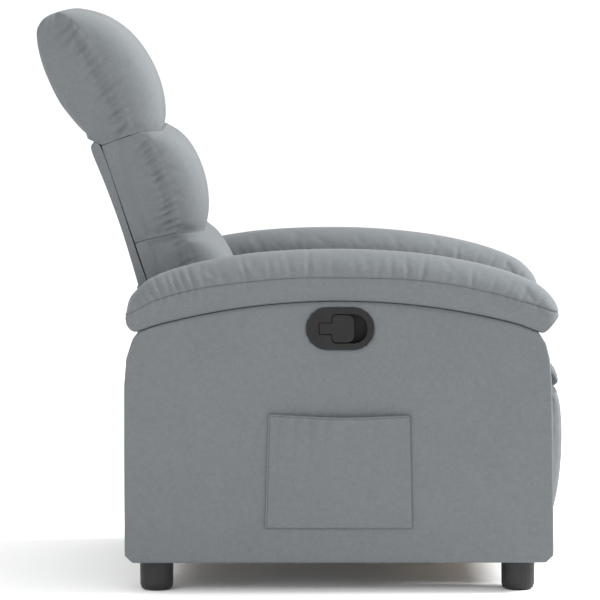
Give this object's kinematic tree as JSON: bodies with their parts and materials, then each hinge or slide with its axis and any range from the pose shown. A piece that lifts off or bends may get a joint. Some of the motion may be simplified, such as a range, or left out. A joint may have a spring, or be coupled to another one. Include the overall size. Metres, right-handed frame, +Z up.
{
  "type": "recliner armchair",
  "caption": "Grey fabric recliner armchair with a tiered back, arched padded arms, a pull lever in the arm, a side pocket and a scissor footrest.",
  "frame": {"origin": "on the floor under the middle of the chair's overall box", "axes": "+Z up, the front faces -Y, +X is the sitter's left; the release lever and pocket are on -X"},
  "size_m": [0.7, 0.945, 1.0315],
  "materials": {
    "fabric": "soft brushed weave",
    "plastic": "fine satin grain",
    "nylon": "smooth",
    "steel": "dark stove enamel",
    "wood": "sanded plywood"
  },
  "bodies": {
    "base": {"arm_cover_right": "fabric", "arm_cover_left": "fabric", "arm_board_right": "wood", "arm_board_left": "wood", "arm_pad_right": "fabric", "arm_pad_left": "fabric", "glide_rail_right": "steel", "glide_rail_left": "steel", "foot_front_right": "plastic", "foot_front_left": "plastic", "foot_rear_right": "plastic", "foot_rear_left": "plastic", "front_rail": "wood", "rear_rail": "wood", "rear_panel": "fabric", "side_pocket": "fabric", "handle_bezel": "plastic", "lever_pin": "steel", "release_cable": "plastic", "latch_bracket": "steel"},
    "handle": {"handle_lever": "plastic"},
    "latch": {"latch_pawl": "steel"},
    "seat": {"seat_cushion": "fabric", "seat_plate_right": "steel", "seat_plate_left": "steel", "glide_block_front_right": "nylon", "glide_block_front_left": "nylon", "glide_block_rear_right": "nylon", "glide_block_rear_left": "nylon", "seat_rail_front": "wood", "seat_rail_rear": "wood", "seat_spring_1": "steel", "seat_spring_2": "steel", "seat_spring_3": "steel", "seat_spring_4": "steel"},
    "back": {"back_frame": "wood", "back_cover": "fabric", "lumbar_cushion": "fabric", "middle_cushion": "fabric", "head_cushion": "fabric", "back_bracket_right": "steel", "back_bracket_left": "steel"},
    "footrest": {"footrest_board": "wood", "footrest_pad": "fabric", "rest_bracket_right": "steel", "rest_bracket_left": "steel"},
    "drive_right": {"drive_link_right": "steel", "torque_tube": "steel"},
    "cross_right": {"cross_link_right": "steel"},
    "lift_right": {"lift_link_right": "steel"},
    "ear_right": {"ear_link_right": "steel"},
    "control_right": {"control_link_right": "steel"},
    "drive_left": {"drive_link_left": "steel"},
    "cross_left": {"cross_link_left": "steel"},
    "lift_left": {"lift_link_left": "steel"},
    "ear_left": {"ear_link_left": "steel"},
    "control_left": {"control_link_left": "steel"}
  },
  "joints": [
    {"name": "handle_pull", "type": "hinge", "parent": "base", "child": "handle", "pos_m": [-0.339, -0.033, 0.4714], "axis": [0, 0, -1], "range_deg": [0, 30], "stiffness_Nm_per_rad": 0.3, "springref_deg": -20.05},
    {"name": "latch_release", "type": "hinge", "parent": "base", "child": "latch", "pos_m": [-0.2327, -0.215, 0.232], "axis": [-1, 0, 0], "range_deg": [0, 10]},
    {"name": "seat_glide", "type": "slide", "parent": "base", "child": "seat", "axis": [0, -1, 0], "range_m": [0, 0.06]},
    {"name": "back_recline", "type": "hinge", "parent": "seat", "child": "back", "pos_m": [0, 0.185, 0.315], "axis": [-1, 0, 0], "range_deg": [0, 36]},
    {"name": "footrest_open", "type": "hinge", "parent": "seat", "child": "drive_right", "pos_m": [-0.2135, -0.313, 0.285], "axis": [-1, 0, 0], "range_deg": [0, 66]},
    {"name": "cross_swing_right", "type": "hinge", "parent": "drive_right", "child": "cross_right", "pos_m": [-0.2135, -0.33483, 0.18229], "axis": [-1, 0, 0], "range_deg": [-132, 0]},
    {"name": "lift_swing_right", "type": "hinge", "parent": "drive_right", "child": "lift_right", "pos_m": [-0.2135, -0.35666, 0.07959], "axis": [-1, 0, 0], "range_deg": [-132, 0]},
    {"name": "ear_swing_right", "type": "hinge", "parent": "cross_right", "child": "ear_right", "pos_m": [-0.2135, -0.35666, 0.285], "axis": [-1, 0, 0], "range_deg": [0, 132]},
    {"name": "control_swing_right", "type": "hinge", "parent": "ear_right", "child": "control_right", "pos_m": [-0.2135, -0.37112, 0.15926], "axis": [-1, 0, 0], "range_deg": [-130.2, 0]},
    {"name": "drive_swing_left", "type": "hinge", "parent": "seat", "child": "drive_left", "pos_m": [0.2135, -0.313, 0.285], "axis": [-1, 0, 0], "range_deg": [0, 66]},
    {"name": "cross_swing_left", "type": "hinge", "parent": "drive_left", "child": "cross_left", "pos_m": [0.2135, -0.33483, 0.18229], "axis": [-1, 0, 0], "range_deg": [-132, 0]},
    {"name": "lift_swing_left", "type": "hinge", "parent": "drive_left", "child": "lift_left", "pos_m": [0.2135, -0.35666, 0.07959], "axis": [-1, 0, 0], "range_deg": [-132, 0]},
    {"name": "ear_swing_left", "type": "hinge", "parent": "cross_left", "child": "ear_left", "pos_m": [0.2135, -0.35666, 0.285], "axis": [-1, 0, 0], "range_deg": [0, 132]},
    {"name": "control_swing_left", "type": "hinge", "parent": "ear_left", "child": "control_left", "pos_m": [0.2135, -0.37112, 0.15926], "axis": [-1, 0, 0], "range_deg": [-130.2, 0]},
    {"name": "footrest_turn", "type": "hinge", "parent": "lift_right", "child": "footrest", "pos_m": [0, -0.40032, 0.285], "axis": [-1, 0, 0], "range_deg": [0, 150]}
  ],
  "couplings": [
    {"joint": "latch_release", "follows": "handle_pull", "ratio": 0.33332},
    {"joint": "seat_glide", "follows": "back_recline", "m_per_rad": 0.09548},
    {"joint": "cross_swing_right", "follows": "footrest_open", "ratio": -2},
    {"joint": "lift_swing_right", "follows": "footrest_open", "ratio": -2},
    {"joint": "ear_swing_right", "follows": "footrest_open", "ratio": 2},
    {"joint": "control_swing_right", "follows": "footrest_open", "ratio": -1.9727},
    {"joint": "drive_swing_left", "follows": "footrest_open", "ratio": 1},
    {"joint": "cross_swing_left", "follows": "footrest_open", "ratio": -2},
    {"joint": "lift_swing_left", "follows": "footrest_open", "ratio": -2},
    {"joint": "ear_swing_left", "follows": "footrest_open", "ratio": 2},
    {"joint": "control_swing_left", "follows": "footrest_open", "ratio": -1.9727},
    {"joint": "footrest_turn", "follows": "footrest_open", "ratio": 2.2727}
  ]
}
